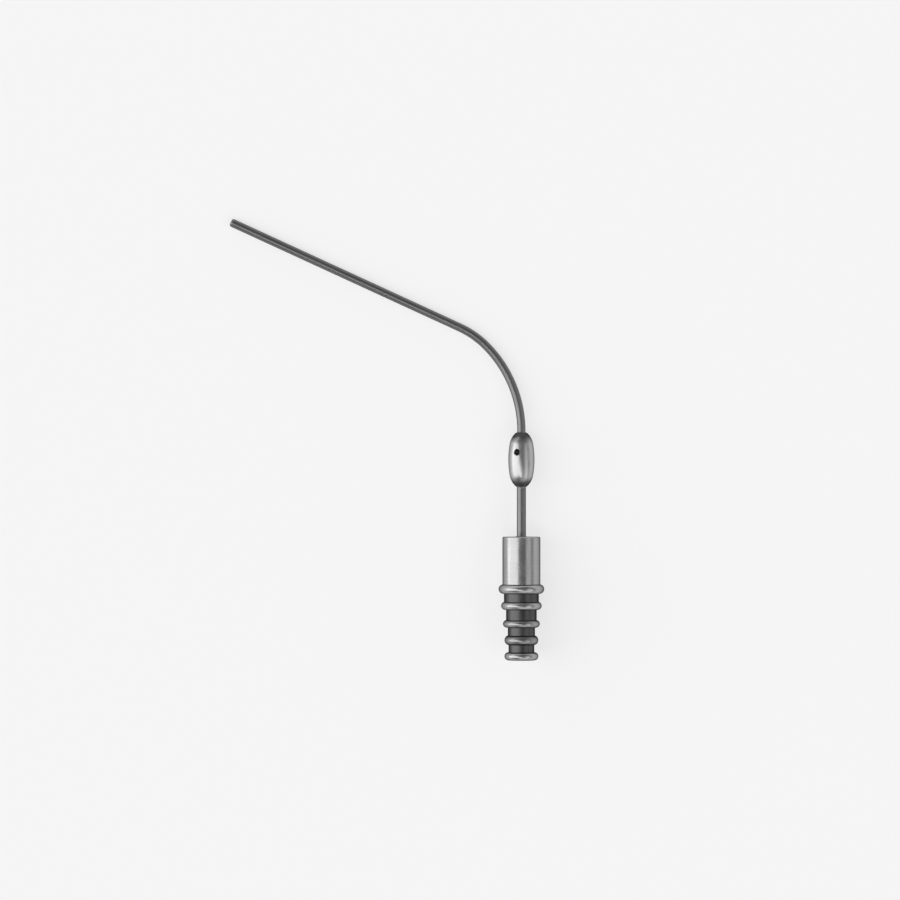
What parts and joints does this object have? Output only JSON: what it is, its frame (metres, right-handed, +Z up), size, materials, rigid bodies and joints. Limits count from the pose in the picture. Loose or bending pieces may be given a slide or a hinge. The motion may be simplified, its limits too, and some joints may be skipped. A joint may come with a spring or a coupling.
{
  "type": "suction tube",
  "caption": "Angled ear suction tube: thin bent metal tube, vented finger bead, short stem and ridged hose connector, lying at rest.",
  "frame": {"origin": "on the surface the tube lies on, under the middle of its box", "axes": "+Z up; +Y along the hose connector's axis in plan, from the hose end towards the bead; -X towards the side that the working tube bends to"},
  "size_m": [0.0628, 0.0884, 0.0091],
  "materials": {
    "turned_steel": "satin, fine turning marks round the axis",
    "drawn_steel": "semi-bright, faint drawing marks along the tube",
    "polished_steel": "bright polished",
    "silver_solder": "smooth, slightly warm silver solder"
  },
  "bodies": {
    "root": {"hose_connector": "turned_steel", "stem_tube": "drawn_steel", "vent_bead": "polished_steel", "working_tube": "drawn_steel", "connector_solder": "silver_solder", "stem_solder": "silver_solder", "tube_solder": "silver_solder"}
  },
  "joints": []
}
